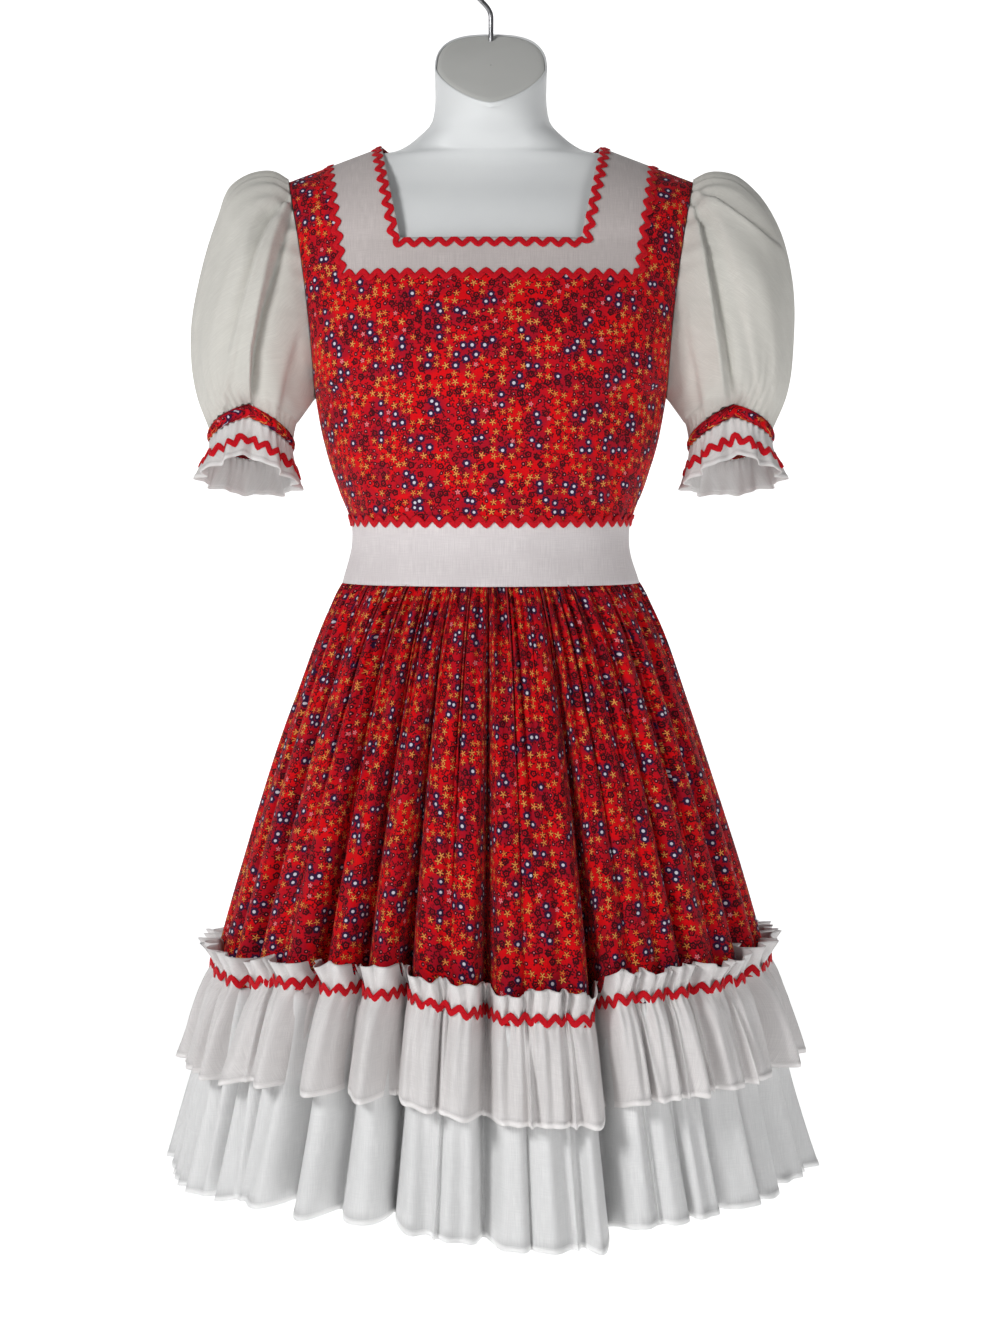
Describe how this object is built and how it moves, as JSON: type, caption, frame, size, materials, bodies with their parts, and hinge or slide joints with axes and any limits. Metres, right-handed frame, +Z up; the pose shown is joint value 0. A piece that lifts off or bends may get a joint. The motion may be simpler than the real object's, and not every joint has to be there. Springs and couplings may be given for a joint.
{
  "type": "prairie dress on a hanging torso form",
  "caption": "Knee-length square-neck dress with puff sleeves, waistband, gathered skirt and ruffled hem, on a limbless torso form that hangs by a wire hook.",
  "frame": {"origin": "top of the inside of the hook's crook, where a rail bears", "axes": "+Z up; the front of the dress faces -Y; +X is to the right as one looks at the front"},
  "size_m": [0.6029, 0.5373, 1.159],
  "materials": {
    "print_cotton": "red cotton with a small dense flower and star print",
    "white_cotton": "plain white slub cotton",
    "sleeve_cotton": "plain off-white cotton",
    "rickrack": "red woven rickrack braid",
    "zip_tape": "red zip tape",
    "zip_metal": "satin metal",
    "form_plastic": "smooth white moulded plastic",
    "hook_wire": "bright drawn wire"
  },
  "bodies": {
    "dress": {"bodice_front": "print_cotton", "bodice_back_left": "print_cotton", "bodice_back_right": "print_cotton", "yoke": "white_cotton", "waistband": "white_cotton", "skirt_front": "print_cotton", "skirt_back": "print_cotton", "upper_ruffle_front": "white_cotton", "upper_ruffle_back": "white_cotton", "lower_ruffle_front": "white_cotton", "lower_ruffle_back": "white_cotton", "sleeve_left": "sleeve_cotton", "sleeve_right": "sleeve_cotton", "cuff_band_left": "print_cotton", "cuff_band_right": "print_cotton", "cuff_ruffle_left": "white_cotton", "cuff_ruffle_right": "white_cotton", "neck_rickrack": "rickrack", "yoke_rickrack": "rickrack", "waist_rickrack": "rickrack", "ruffle_rickrack": "rickrack", "cuff_rickrack_left": "rickrack", "cuff_rickrack_right": "rickrack", "zip_strip": "zip_tape", "zip_slider": "zip_metal", "torso_form": "form_plastic", "hook": "hook_wire"},
    "zip_pull": {"zip_pull": "zip_metal"}
  },
  "joints": [
    {"name": "pull_hinge", "type": "hinge", "parent": "dress", "child": "zip_pull", "pos_m": [0, 0.07458, -0.21987], "axis": [1, 0, 0], "range_deg": [0, 120]}
  ]
}
